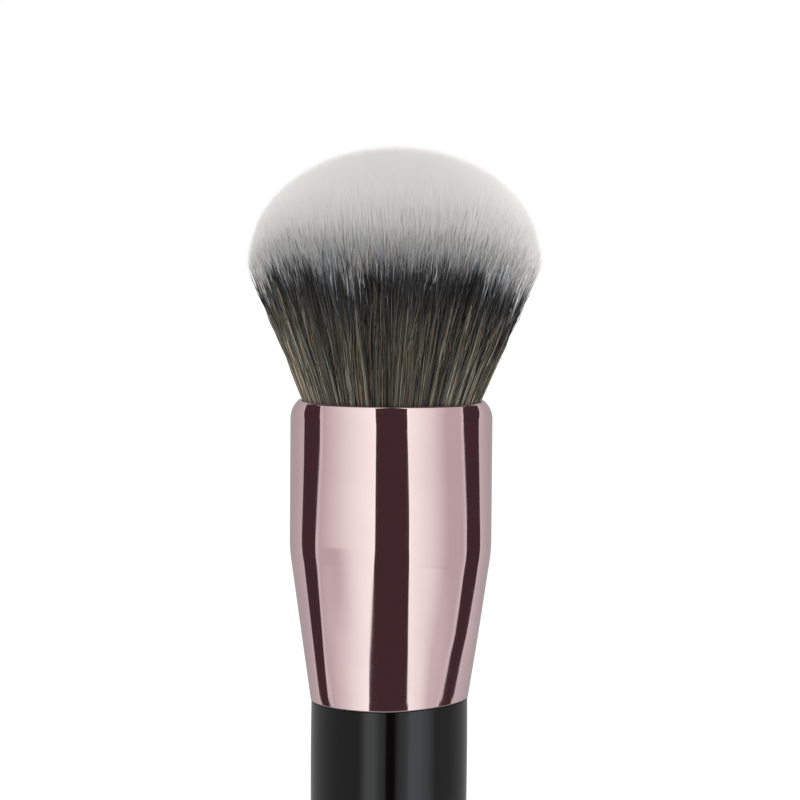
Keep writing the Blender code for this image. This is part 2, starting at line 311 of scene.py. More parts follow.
def handle_profile():
    """From the top of the tenon down over its grooves, the shoulder, the body and the rounded end. Each
    rounded edge is a quarter of a circle."""
    tenon = [(0.0, TENON_Z), (TENON_RADIUS - TENON_CHAMFER, TENON_Z), (TENON_RADIUS, TENON_Z - TENON_CHAMFER)]
    for middle in np.linspace(TENON_Z, SHOULDER_Z, GROOVE_COUNT + 2)[1:-1]:
        top, low = middle + GROOVE_WIDTH / 2, middle - GROOVE_WIDTH / 2
        floor = TENON_RADIUS - GROOVE_DEPTH
        tenon += [(TENON_RADIUS, top), (floor, top), (floor, low), (TENON_RADIUS, low)]
    tenon.append((TENON_RADIUS, SHOULDER_Z))
    middle = (SHOULDER_RADIUS - SHOULDER_EDGE, SHOULDER_Z - SHOULDER_EDGE)
    edge = arc(middle, (SHOULDER_EDGE,) * 2, 90, 0, EDGE_POINTS)
    heights = np.linspace(SHOULDER_Z - 2 * SHOULDER_EDGE, END_EDGE, BODY_POINTS)
    body = np.stack([handle_radius(heights), heights], axis=-1)
    centre = (handle_radius(np.array(END_EDGE)) - END_EDGE, END_EDGE)
    end = arc(centre, (END_EDGE,) * 2, 0, -90, END_POINTS)[1:]
    return np.concatenate([tenon, edge, body, end, [(0.0, 0.0)]])


def raise_the_edge(piece, edge_z, ease_z):
    """Lifts the ring where the ferrule and the handle meet.

    The sine of a point's bearing says how far it is to the right. A soft ramp of it scales the right side's
    rise. The ramp less the sine, which is the same ramp for the other side, scales the left side's. The
    lift is whole at the height of the edge and fades out towards another height. Past the edge, as on the
    tenon, nothing moves.
    """
    points = vertex_values(piece.data, "co")
    x, y, z = points.T
    aside = x / np.maximum(np.hypot(x, y), TINY)
    right = (aside + np.sqrt(aside**2 + RISE_SOFTNESS)) / 2
    share = (z - ease_z) / (edge_z - ease_z)
    share = np.where(share > JUST_PAST, 0.0, np.clip(share, 0.0, 1.0))
    z += share * (RIGHT_RISE * right + LEFT_RISE * (right - aside))
    piece.data.vertices.foreach_set("co", points.ravel())
    piece.data.update()


handle = turned("lacquered_handle", handle_profile(), closed=False)
raise_the_edge(handle, SHOULDER_Z, SHOULDER_Z - HANDLE_EASE)
print("handle:", len(handle.data.polygons), "faces")

# %% [markdown]
# The lacquer is nearly black, and what the eye reads as its shape is what it reflects. Under the clear top
# coat the sprayed film is never perfectly flat, so a slow, shallow bump bends the reflections a little, and
# the gloss itself varies by a few hundredths.

# %% Mix the lacquer
LACQUER_COLOUR = (0.0010, 0.0012, 0.0011)
LACQUER_SHADE = 0.75
LACQUER_GLOSS = (0.09, 0.14)
FILM_DEPTH, FILM_STRENGTH = 0.02 * MM, 0.12
HAZE_NOISE = ((1, 1, 0.25), 90.0)
GLOSS_NOISE = ((1, 1, 0.15), 240.0)
FILM_NOISE = ((1, 1, 0.3), 160.0, 1.0)


def lacquer_finish():
    """Black with a faint haze in it. The gloss follows one noise, and the film's bump another."""
    finish, tree, shader = new_finish("black_lacquer")
    dark = tuple(LACQUER_SHADE * c for c in LACQUER_COLOUR)
    haze = ramp(tree, stretched_noise(tree, *HAZE_NOISE), [(0.3, dark), (0.7, LACQUER_COLOUR)])
    gloss = between(tree, stretched_noise(tree, *GLOSS_NOISE), *LACQUER_GLOSS)
    film = bump(tree, stretched_noise(tree, *FILM_NOISE), FILM_DEPTH, FILM_STRENGTH)
    wire(tree, shader, {"Base Color": haze, "Roughness": gloss, "Normal": film})
    return finish


def wear(piece, node, finish):
    """The piece rides on the brush's one body, stands for a node, and takes its finish."""
    piece.data.materials.append(finish)
    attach(piece, "root")
    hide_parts(node)


wear(handle, "handle", lacquer_finish())

# %% [markdown]
# ## The ferrule
#
# The ferrule is spun from thin aluminium, polished like a mirror and anodised pink gold. It is straight
# above, a cone below with a soft bend between, and its top is drawn in over a rounded shoulder to the lip
# that the fibres lean on. The shoulder is an arc that stops before it is level, where the edge turns in. The
# shell is closed: the profile runs down the outside, round the thin edge of the mouth, and back up the
# inside to the edge of the lip. The mouth's edge starts in line with the cone, so no crease shows in the
# reflections, and it is lifted at the right with the handle's shoulder.

# %% Turn the ferrule
MOUTH_RADIUS = 10.85 * MM
MOUTH_EDGE_Z = MOUTH_Z + 0.13 * MM
LIP_EDGE_Z = LIP_Z + 0.35 * MM
WALL = 0.5 * MM
SHOULDER_ARC = 3.3 * MM
SHOULDER_TURN = 47.0
SHADED_TILT = 0.2
BEND_Z = LIP_Z - 20.2 * MM
BEND_HALF = 1.5 * MM
FERRULE_EASE = 9.0 * MM
EDGE_TURN = 3.8
ROLLED_EDGE = 0.75
STRAIGHT_POINTS = 8
BEND_POINTS = 16
CONE_POINTS = 16
MOUTH_POINTS = 19
OUTER_POINTS = 14
INNER_POINTS = 12
ROLL_POINTS = 11


def ferrule_radius(height):
    """A cone below the bend and a straight tube above it, with a parabola that eases one into the other."""
    slope = (FERRULE_RADIUS - MOUTH_RADIUS) / (BEND_Z - MOUTH_EDGE_Z)
    low, top = BEND_Z - BEND_HALF, BEND_Z + BEND_HALF
    cone = MOUTH_RADIUS + slope * (height - MOUTH_EDGE_Z)
    drop = slope * BEND_HALF * np.clip((top - height) / (top - low), 0, 1) ** 2
    return np.where(height < low, cone, FERRULE_RADIUS - drop)


def ferrule_profile():
    """Down the outer side from the lip to the mouth, and back up the inner side, which is the outer side
    drawn in by the wall. The shoulder is an arc, and so is the round edge of the lip and of the mouth."""
    edge = WALL / 2
    turn = math.radians(SHOULDER_TURN)
    centre_z = LIP_EDGE_Z - (SHOULDER_ARC - edge) * math.sin(turn) - edge
    centre = (FERRULE_RADIUS - SHOULDER_ARC, centre_z)
    outer = (SHOULDER_ARC, SHOULDER_ARC)
    inner = (SHOULDER_ARC - WALL, SHOULDER_ARC - WALL)
    middle = (SHOULDER_ARC - edge) * np.array([math.cos(turn), math.sin(turn)])
    lip_roll = arc(np.array(centre) + middle, (edge, edge), SHOULDER_TURN + 180, SHOULDER_TURN, ROLL_POINTS)
    straight = np.linspace(centre_z, BEND_Z + BEND_HALF, STRAIGHT_POINTS)[1:-1]
    bend = np.linspace(BEND_Z + BEND_HALF, BEND_Z - BEND_HALF, BEND_POINTS)
    cone = np.linspace(BEND_Z - BEND_HALF, MOUTH_EDGE_Z + edge, CONE_POINTS)[1:-1]
    mouth = (ferrule_radius(MOUTH_EDGE_Z + edge) - edge, MOUTH_EDGE_Z + edge)
    heights = np.concatenate([straight, bend, cone])
    side = np.stack([ferrule_radius(heights), heights], axis=-1)
    return np.concatenate([
        arc(centre, outer, SHOULDER_TURN, 0, OUTER_POINTS)[1:],
        side,
        arc(mouth, (edge, edge), -EDGE_TURN, -180, MOUTH_POINTS),
        side[::-1] - (WALL, 0.0),
        arc(centre, inner, 0, SHOULDER_TURN, INNER_POINTS)[:-1],
        lip_roll,
    ])


def level_the_shoulder(piece):
    """The photograph's reflections run straight up to the lip. So on the shoulder's arc the normals that
    the shading reads tilt up by only a share of the surface's own tilt."""
    points, normals = vertex_values(piece.data, "co"), vertex_values(piece.data, "normal")
    outward = np.linalg.norm(normals[:, :2], axis=-1)
    facing = (points[:, :2] * normals[:, :2]).sum(axis=-1) > 0
    on_the_arc = facing & (points[:, 2] > BEND_Z + BEND_HALF) & (normals[:, 2] < ROLLED_EDGE)
    tilt = np.arctan2(normals[:, 2], outward) * np.where(on_the_arc, SHADED_TILT, 1.0)
    flat = normals[:, :2] / np.maximum(outward, TINY)[:, None] * np.cos(tilt)[:, None]
    shaded = np.concatenate([flat, np.sin(tilt)[:, None]], axis=-1)
    piece.data.normals_split_custom_set_from_vertices(shaded)


ferrule = turned("pink_gold_ferrule", ferrule_profile(), closed=True)
raise_the_edge(ferrule, MOUTH_EDGE_Z, MOUTH_EDGE_Z + FERRULE_EASE)
level_the_shoulder(ferrule)
print("ferrule:", len(ferrule.data.polygons), "faces")

# %% [markdown]
# Anodised aluminium keeps the shine of the metal under a dyed film. The dye tints every reflection, so the
# colour goes on a metallic shader. Polishing leaves lines round the axis that are finer than a hair: noise
# squeezed along the axis varies the gloss in rings, and a trace of bump keeps the reflections alive. The cut
# edge of the mouth is duller, and a painted shade darkens its colour to dim its reflection of the table. It
# is the only outer surface that faces down much, so the height of the surface's own normal tells where it is.

# %% Anodise the ferrule
PINK_GOLD = (0.80, 0.60, 0.62)
PINK_GOLD_DEEP = (0.78, 0.575, 0.60)
FERRULE_GLOSS = (0.03, 0.07)
DYE_NOISE = ((1, 1, 2.0), 55.0)
LINE_NOISE = ((1, 1, 60.0), 60.0)
LINE_DEPTH, LINE_STRENGTH = 0.004 * MM, 0.08
EDGE_STARTS = -0.2
EDGE_WHOLE = -0.32
# Painted shade: the share of the dye's colour left on the mouth's down-turned edge, which dims its reflection
EDGE_PAINTED_SHADE = 0.46
EDGE_ROUGHNESS = 0.4


def on_the_edge(tree, body, edge):
    """A number that is one value on the body, and another where the surface turns down at the mouth."""
    facing = new_node(tree, "ShaderNodeTexCoord")
    up = new_node(tree, "ShaderNodeSeparateXYZ", {"Vector": facing.outputs["Normal"]}).outputs["Z"]
    span = {"From_Min": EDGE_WHOLE, "From_Max": EDGE_STARTS, "To_Min": edge, "To_Max": body}
    return new_node(tree, "ShaderNodeMapRange", {"Value": up}, **span).outputs["Result"]


def anodised_finish():
    """Metal in two close shades of the dye, with polishing lines in its gloss and its bump. The edge's
    painted shade scales the colour, and its roughness is added to the lines' roughness."""
    finish, tree, shader = new_finish("rose_gold", metallic=1.0)
    dye = ramp(tree, stretched_noise(tree, *DYE_NOISE), [(0.35, PINK_GOLD_DEEP), (0.65, PINK_GOLD)])
    # The dye is darkened where the surface turns down at the mouth, a painted shade that dims its reflection
    dyed = tree.nodes.new("ShaderNodeVectorMath")
    dyed.operation = "SCALE"
    wire(tree, dyed, {0: dye, "Scale": on_the_edge(tree, 1.0, EDGE_PAINTED_SHADE)})
    lines = stretched_noise(tree, *LINE_NOISE)
    both = {0: between(tree, lines, *FERRULE_GLOSS), 1: on_the_edge(tree, 0.0, EDGE_ROUGHNESS)}
    gloss = new_node(tree, "ShaderNodeMath", both).outputs["Value"]
    relief = bump(tree, lines, LINE_DEPTH, LINE_STRENGTH)
    wire(tree, shader, {"Base Color": dyed.outputs["Vector"], "Roughness": gloss, "Normal": relief})
    return finish


wear(ferrule, "ferrule", anodised_finish())

# %% [markdown]
# ## The fibres
#
# The head is a dense knot of fine synthetic fibres. They stand side by side in the ferrule, bend out over
# its lip, and end in fine points that together make the dome. Modelling each fibre as a thin closed tube
# gives what no painted surface can: gaps that go dark, a soft outline, and white tips that mix with the
# dyed band below them.
#
# To fill a round bundle evenly, the fibres are set out like the seeds of a sunflower. Each one keeps its
# share of the bundle's width all the way up, so they spread evenly. Neighbours belong together in small
# tufts and larger locks, which is what gives real hair its grain.

# %% Set out the fibres like sunflower seeds
FIBRE_COUNT = 44000
LOCK_COUNT = 1300
TUFT_COUNT = 9000
SEED_SHAKE = 0.35
BUNDLE_SHAKE = 0.5
BUNDLE_SPAN = 0.985
NEAREST_PARTS = 40
GOLDEN_ANGLE = math.pi * (3 - math.sqrt(5))
chance = np.random.default_rng(7)


def sunflower(count):
    """Evenly spread places in a disc of radius 1: seed i is at the root of (i + 1/2) / count, and the
    golden angle further round than the seed before it."""
    seeds = np.arange(count)
    share = np.sqrt((seeds + 0.5) / count)
    turn = seeds * GOLDEN_ANGLE
    return np.stack([share * np.cos(turn), share * np.sin(turn)], axis=-1)


fibre_places = sunflower(FIBRE_COUNT)
fibre_places += chance.normal(0, SEED_SHAKE / math.sqrt(FIBRE_COUNT), fibre_places.shape)
fibre_share = np.minimum(np.linalg.norm(fibre_places, axis=-1), 1.0)


def scattered(count):
    """Places of bundle middles: a sunflower again, drawn in a little from the rim and shaken."""
    shake = chance.normal(0, BUNDLE_SHAKE / math.sqrt(count), (count, 2))
    return BUNDLE_SPAN * sunflower(count) + shake


def nearest(places, middles):
    """The number of the middle nearest to each place, in parts that fit in memory. A squared distance is
    the place's square plus the middle's square less twice their product, and the place's own square
    doesn't change the order."""
    squares = (middles**2).sum(axis=-1)
    parts = np.array_split(places, NEAREST_PARTS)
    return np.concatenate([(squares - 2 * part @ middles.T).argmin(axis=-1) for part in parts])


lock_places = scattered(LOCK_COUNT)
tuft_places = scattered(TUFT_COUNT)
fibre_lock = nearest(fibre_places, lock_places)
fibre_tuft = nearest(fibre_places, tuft_places)
print(FIBRE_COUNT, "fibres in", TUFT_COUNT, "tufts and", LOCK_COUNT, "locks")

# %% [markdown]
# Two curves shape the whole head. One gives the bundle's radius at each height: the fibres fan out over the
# lip and run straight from there. The other is the dome that their tips make, a half ellipse. A fibre ends
# where its straight way meets the dome, which gives each place in the bundle its own length.

# %% Shape the bundle and the dome
ROOT_BUNDLE = 10.1 * MM
LIP_BUNDLE = 12.15 * MM
FLARE = 0.41
CROWN_Z = LIP_Z + 19.2 * MM
DOME_HEIGHT = TOP_Z - CROWN_Z + 0.8 * MM
CROWN_LIFT = 1.0 * MM
RIM_RADIUS = HEAD_RADIUS - 0.12 * MM
DOME_POINTS = 400
SMALLEST_SHARE = 0.5


def bundle_radius(height):
    """Inside the ferrule a slight flare, and above the lip a wider cone."""
    inside = ROOT_BUNDLE + (LIP_BUNDLE - ROOT_BUNDLE) * (height - ROOT_Z) / (LIP_Z - ROOT_Z)
    return np.where(height < LIP_Z, inside, LIP_BUNDLE + FLARE * (height - LIP_Z))


def dome_height(distance):
    """Half an ellipse: its height falls with the root of 1 less the distance from the axis squared."""
    return CROWN_Z + CROWN_LIFT + (DOME_HEIGHT - CROWN_LIFT) * np.sqrt(1 - distance**2)


def tip_height(share):
    """For points along the dome, the share of the bundle whose straight way ends there is the distance
    from the axis over the bundle's radius at that height. Beyond the dome's edge the fibres end on the
    head's upright side, which no small share reaches. Both are read backwards, from share to height."""
    distance = np.sin(np.linspace(0, math.pi / 2, DOME_POINTS))
    heights = dome_height(distance)
    shares = distance * RIM_RADIUS / bundle_radius(heights)
    side = (RIM_RADIUS / np.maximum(share, SMALLEST_SHARE) - LIP_BUNDLE) / FLARE + LIP_Z
    return np.where(share < shares[-1], np.interp(share, shares, heights), side)


# %% [markdown]
# No fibre is like the next. Each has its own length, a slight lean, a slight curl and a slight turn across
# its neighbours. Part of each is the fibre's own, and part is shared by the fibres of its tuft or its lock.
# A few strays lean further and stand a little proud.

# %% Give each fibre its own character
LENGTH_SPREAD = 0.10 * MM
LOCK_LENGTH_SPREAD = 0.05 * MM
LEAN_SPREAD = 0.20 * MM
TUFT_LEAN_SPREAD = 0.20 * MM
TURN_SPREAD = 1.6
TUFT_TURN_SPREAD = 1.6
CURL_SPREAD = 0.12 * MM
TUFT_CURL_SPREAD = 0.20 * MM
STRAY_CHANCE = 0.012
STRAY_LEAN = 1.5
STRAY_LENGTH = 0.3 * MM
PHASE_SPREAD = 0.4


def own(spread, *columns):
    """A chance value, or a row of them, for each fibre, from a bell curve of that spread."""
    return chance.normal(0, spread, (FIBRE_COUNT, *columns))


def by_tuft(spread, *columns):
    """A chance value, or a row of them, that the fibres of a tuft share."""
    return chance.normal(0, spread, (TUFT_COUNT, *columns))[fibre_tuft]


def by_lock(spread):
    """A chance value that the fibres of a lock share."""
    return chance.normal(0, spread, LOCK_COUNT)[fibre_lock]


stray = chance.random(FIBRE_COUNT) < STRAY_CHANCE
fibre_top = tip_height(fibre_share) + own(LENGTH_SPREAD) + by_lock(LOCK_LENGTH_SPREAD)
fibre_top += np.where(stray, STRAY_LENGTH * chance.random(FIBRE_COUNT), 0.0)
fibre_lean = own(LEAN_SPREAD, 2) * np.where(stray, STRAY_LEAN, 1.0)[:, None] + by_tuft(TUFT_LEAN_SPREAD, 2)
fibre_twist = own(TURN_SPREAD) + by_tuft(TUFT_TURN_SPREAD)
fibre_curl = own(CURL_SPREAD, 2) + by_tuft(TUFT_CURL_SPREAD, 2)
fibre_phase = (2 * math.pi * chance.random(TUFT_COUNT))[fibre_tuft] + own(PHASE_SPREAD)
print("fibre tips from", round(fibre_top.min() / MM, 1), "to", round(fibre_top.max() / MM, 1), "mm")

# %% [markdown]
# The dye line is never cut clean. Every fibre took the dye a little higher or lower, and a few took it much
# higher. On the head's left and right sides the line dips. There the black band is also thinner and the taupe
# lighter and browner, which is painted side light.

# %% Find where the dye ends on each fibre
DYE_LEVEL = 127.95 * MM
DYE_RISE = 2.2 * MM
LEFT_DIP = 6.3 * MM
RIGHT_DIP = 6.6 * MM
DYE_SPREAD = 1.35 * MM
TUFT_DYE_SPREAD = 1.2 * MM
LOCK_DYE_SPREAD = 0.5 * MM
LONG_DYE_CHANCE = 0.08
LONG_DYE = 4.0 * MM
# Strengths of the painted side light on the head's left and right sides
LEFT_PAINTED_LIGHT = 1.9
RIGHT_PAINTED_LIGHT = 0.9


def dye_line(turn, share):
    """The dye line's height. It rises with the fourth power of the share of the bundle's width. The two
    sides' dips grow the same way, with the eighth power of the cosine at the left and the third at the
    right."""
    sidewards = np.cos(turn)
    dip = np.where(sidewards < 0, LEFT_DIP * sidewards**8, RIGHT_DIP * sidewards**3)
    return DYE_LEVEL + (DYE_RISE - dip) * share**4


fibre_turn = np.arctan2(fibre_places[:, 1], fibre_places[:, 0])
fibre_dye = dye_line(fibre_turn, fibre_share)
ragged_dye = own(DYE_SPREAD) + by_tuft(TUFT_DYE_SPREAD) + by_lock(LOCK_DYE_SPREAD)
long_dyed = chance.random(FIBRE_COUNT) < LONG_DYE_CHANCE
ragged_dye += np.where(long_dyed, LONG_DYE * chance.random(FIBRE_COUNT), 0.0)
# Painted side light: on the head's left and right sides the fibres are made lighter and browner and the black
# band thinner
painted_side_light = np.where(fibre_places[:, 0] < 0, LEFT_PAINTED_LIGHT, RIGHT_PAINTED_LIGHT)
painted_side_light = painted_side_light * np.cos(fibre_turn) ** 4 * fibre_share**4
print("dye ends from", round(fibre_dye.min() / MM, 1), "to", round(fibre_dye.max() / MM, 1), "mm")

# %% [markdown]
# Shades differ from fibre to fibre as well. A shade from 0, dark, to 1, light, is picked for each, and some
# fibres are a browner taupe. Both are packed into one number across the UV map: greyer fibres take the left
# half and browner ones the right half, with 128 shades in each. Up the map runs the height above the dye
# line. So one small map holds every colour of every fibre, whichever fibre reads it.

# %% Pick each fibre's shade
SHADES = 128
BROWN_CHANCE = 0.24
# How much the painted side light raises the chance of a browner fibre and lightens the shade
PAINTED_LIGHT_BROWN = 0.25
PAINTED_LIGHT_TONE = 0.025
LOCK_BROWN_SPREAD = 0.25
TONE_SHAPE = (0.6, 3.0)
TUFT_TONE = 0.3
LIGHTEST_TONE = 0.999

lock_brown = by_lock(LOCK_BROWN_SPREAD)
fibre_tone = (1 - TUFT_TONE) * chance.beta(*TONE_SHAPE, FIBRE_COUNT)
fibre_tone += TUFT_TONE * chance.beta(*TONE_SHAPE, TUFT_COUNT)[fibre_tuft]
# Painted side light lightens the shade and makes browner fibres likelier on the head's sides
fibre_tone = np.minimum(fibre_tone + PAINTED_LIGHT_TONE * painted_side_light, LIGHTEST_TONE)
brown_chance = BROWN_CHANCE + PAINTED_LIGHT_BROWN * painted_side_light
fibre_brown = (chance.random(FIBRE_COUNT) + lock_brown < brown_chance).astype(int)
fibre_column = fibre_brown * SHADES + np.floor(fibre_tone * SHADES)
print(f"{fibre_brown.mean():.0%} of the fibres are browner")

# %% [markdown]
# A fibre's way is found at a few stations, which are shares of its free length. Its place, length, lean, turn
# and curl come together here, and the fibres of one tuft or lock pull together towards their tips.

# %% Find the way of each fibre
LOCK_PULL = 0.12
TUFT_PULL = 0.42
HEAD_LEAN = 0.014
CALM_FROM = DYE_LEVEL + 1.5 * MM
CALM_OVER = 5.0 * MM
CALMED = 0.75


def fibre_stations(chosen, stations):
    """Centres of the chosen fibres at the root, the stations and the tip.

    A centre is the fibre's place in the bundle times the bundle's radius at that height. The pull of its
    lock and its lean grow with the square of the way up, the pull of its tuft with the root, and its curl
    is a wave along the way that starts anywhere. Its twist, in degrees, turns it round the axis as the way
    grows. Above the dye line all of these lose most of their freedom, so the white tips lie calmer than
    the dark length. The whole head leans to the right by a hair.
    """
    ways = np.array([*stations, 1.0])
    tops = fibre_top[chosen][:, None]
    heights = LIP_Z + ways * (tops - LIP_Z)
    heights = np.concatenate([np.full_like(tops, ROOT_Z), heights], axis=1)
    ways = np.concatenate([[0.0], ways])[None, :, None]
    places = fibre_places[chosen][:, None, :]
    locks = lock_places[fibre_lock[chosen]][:, None, :] - places
    tufts = tuft_places[fibre_tuft[chosen]][:, None, :] - places
    freedom = 1 - CALMED * np.clip((heights - CALM_FROM) / CALM_OVER, 0, 1)
    free = freedom[..., None]
    spread = places + free * (LOCK_PULL * ways**2 * locks + TUFT_PULL * np.sqrt(ways) * tufts)
    turns = np.radians(fibre_twist[chosen])[:, None] * ways[..., 0] * freedom
    along, across = spread[..., 0], spread[..., 1]
    spread = np.stack([along * np.cos(turns) - across * np.sin(turns),
                       along * np.sin(turns) + across * np.cos(turns)], axis=-1)
    centres = spread * bundle_radius(heights)[..., None]
    centres += free * fibre_lean[chosen][:, None, :] * ways**2
    waves = np.sin(3 * math.pi * ways + fibre_phase[chosen][:, None, None])
    centres += free * fibre_curl[chosen][:, None, :] * np.sqrt(ways) * waves
    centres[..., 0] += HEAD_LEAN * np.maximum(heights - LIP_Z, 0)
    return np.concatenate([centres, heights[..., None]], axis=-1)


# %% [markdown]
# A fibre is a tube with three sides, because it is thinner than a pixel and there are tens of thousands. It
# grows a little thicker on its way up, narrows at its last station and ends in a point.

# %% Loft the fibres
FIBRE_RADIUS = 0.056 * MM
SIDES = 3
THICKENING = (0.85, 1.0)
SHOULDER_SHARE = 0.80


def fibre_piece(name, chosen, stations):
    """The chosen fibres as one mesh of pointed tubes, each closed at its root.

    Every centre but the tip gets a ring of points: the centre plus the radius at that station times the
    cosine and the sine of evenly spaced turns, which start anywhere. Faces join neighbouring rings, and
    the last ring to the tip.
    """
    centres = fibre_stations(chosen, stations)
    count, rows = len(chosen), centres.shape[1]
    radii = FIBRE_RADIUS * np.interp([0.0, *stations], (0, 1), THICKENING)
    radii[-1] *= SHOULDER_SHARE
    turns = 2 * math.pi * (np.arange(SIDES) / SIDES) + chance.random((count, 1)) * 2 * math.pi
    ring = np.stack([np.cos(turns), np.sin(turns), 0 * turns], axis=-1)
    rings = centres[:, :-1, None, :] + radii[None, :, None, None] * ring[:, None, :, :]
    per_fibre = (rows - 1) * SIDES + 1
    points = np.concatenate([rings.reshape(count, -1, 3), centres[:, -1:]], axis=1).reshape(-1, 3)
    starts = np.arange(count)[:, None, None] * per_fibre
    row = np.arange(rows - 2)[None, :, None] * SIDES
    side = np.arange(SIDES)[None, None, :]
    after = (side + 1) % SIDES
    low = starts + row
    quads = np.stack([low + side, low + after, low + SIDES + after, low + SIDES + side], axis=-1)
    last = starts + (rows - 2) * SIDES
    tip = starts + per_fibre - 1 + 0 * side
    tips = np.stack([last + side, last + after, tip], axis=-1).reshape(-1, 3)
    roots = (np.arange(count)[:, None] * per_fibre + np.array([2, 1, 0])).reshape(-1, 3)
    piece = mesh_object(name, points, quads, np.concatenate([tips, roots]))
    map_fibres(piece, chosen, centres[..., 2], rows)
    return piece


# %% [markdown]
# The map gives each fibre a narrow column. Every side of a fibre covers the column's whole width, so a
# picture painted through the map has no face that is too thin to hold a colour.

# %% Lay the fibres out on the map
MAP_LOW = -44 * MM
MAP_HIGH = 20 * MM
RAGGED_ABOVE = 6.5 * MM
COLUMN_EDGE = 0.12
MAP_MARGIN = 0.002


def faces(sides, *corners):
    """The corners of every face on the map, from (across, along) arrays that fit the fibres and their rows.
    Each side of a fibre gets the same corners."""
    corners = [np.broadcast_arrays(across + np.zeros(sides), along) for across, along in corners]
    return np.stack([np.stack(corner, axis=-1) for corner in corners], axis=-2).reshape(-1, 2)


def map_fibres(piece, chosen, heights, rows):
    """Across: the fibre's column. Up: the height above its dye line, from the map's low end to its high.

    Each fibre's line is as ragged as its dye, which fades out well above the line. Below the line the
    heights are stretched by the painted side light, so the black band ends sooner on the head's sides.
    """
    left = (fibre_column[chosen] + COLUMN_EDGE) / (2 * SHADES)
    right = (fibre_column[chosen] + 1 - COLUMN_EDGE) / (2 * SHADES)
    above = heights - fibre_dye[chosen][:, None]
    above -= ragged_dye[chosen][:, None] * np.clip(1 - above / RAGGED_ABOVE, 0, 1)
    # Painted side light: below the dye line the heights are stretched, so the black band ends sooner on the
    # sides
    above += painted_side_light[chosen][:, None] * np.minimum(above, 0)
    up = np.clip((above - MAP_LOW) / (MAP_HIGH - MAP_LOW), MAP_MARGIN, 1 - MAP_MARGIN)

    lefts, rights = left[:, None, None], right[:, None, None]
    middle = (lefts + rights) / 2
    low, high = up[:, : rows - 2, None], up[:, 1 : rows - 1, None]
    shoulder, top, foot = up[:, None, rows - 2 : rows - 1], up[:, None, rows - 1 :], up[:, None, :1]
    quads = faces(SIDES, (lefts, low), (rights, low), (rights, high), (lefts, high))
    tips = faces(SIDES, (lefts, shoulder), (rights, shoulder), (middle, top))
    roots = faces(1, (lefts, foot), (rights, foot), (middle, foot + COLUMN_EDGE / SHADES))
    flat = np.concatenate([quads, tips, roots])
    layer = piece.data.uv_layers.new(name="OFBake")
    layer.uv.foreach_set("vector", flat.astype(np.float32).ravel())


# %% [markdown]
# The fibres' colours come from the dyer's side of the work. The tips are left undyed and are a warm white.
# The band below them is black, and the length down to the ferrule is taupe, from grey to brown. Each ramp
# is read by the height above the dye line, and the shade across the map lightens or darkens it. Where the
# fibres are taupe the shades differ most, and in the white tips least. The browner fibres have a warmer grey
# where the black thins out into the white.

# %% Dye the fibres
TAUPE_GREY = (0.071, 0.069, 0.054)
TAUPE_BROWN = (0.086, 0.071, 0.048)
BLACK_DYE = (0.022, 0.0225, 0.0235)
BLACK_EDGE = (0.085, 0.090, 0.097)
SMOKE = (0.235, 0.247, 0.265)
MIST = (0.46, 0.465, 0.472)
WARM_EDGE = (0.094, 0.088, 0.080)
WARM_SMOKE = (0.258, 0.246, 0.234)
WARM_MIST = (0.48, 0.462, 0.445)
PALE = (0.78, 0.775, 0.755)
UNDYED = (0.90, 0.885, 0.855)
DEEP_TAUPE = 0.6
DARKEST = {-7.0: (0.06, 0.06, 0.05), -3.0: (0.3,) * 3, 4.0: (0.95,) * 3, 10.0: (0.98,) * 3}
LIGHTEST = {-7.0: (10.0, 10.0, 10.4), -3.0: (6.0,) * 3, 4.0: (1.10,) * 3, 10.0: (1.05,) * 3}
FIBRE_ROUGHNESS = 0.4
FIBRE_SPECULAR = 0.15


def by_height(tree, up, colours):
    """A ramp, read up the map, from heights above the dye line, in millimetres, and their colours."""
    stops = [((height * MM - MAP_LOW) / (MAP_HIGH - MAP_LOW), colour) for height, colour in colours.items()]
    return ramp(tree, up, stops)


def dye_colours(taupe, edge, smoke, mist):
    """The colours of a fibre from its root to its tip."""
    return {
        -40.0: taupe,
        -18.0: taupe,
        -8.0: tuple(DEEP_TAUPE * c for c in taupe),
        -4.4: BLACK_DYE,
        -1.5: BLACK_DYE,
        -0.3: edge,
        0.6: smoke,
        2.7: mist,
        7.0: PALE,
        12.0: UNDYED,
    }


def worked_out(tree, operation, first, second=0.0):
    """One step of arithmetic on another node's number."""
    made = new_node(tree, "ShaderNodeMath", {0: first})
    made.operation = operation
    made.inputs[1].default_value = second
    return made.outputs["Value"]


def mixed(tree, first, second, factor=None, blend="MIX"):
    """Two colours mixed by a factor. Without one, the blend counts in full."""
    made = tree.nodes.new("ShaderNodeMix")
    made.data_type = "RGBA"
    made.blend_type = blend
    links = {"A": first, "B": second}
    if factor is not None:
        links["Factor"] = factor
    return wire(tree, made, links, Factor=1.0).outputs["Result"]


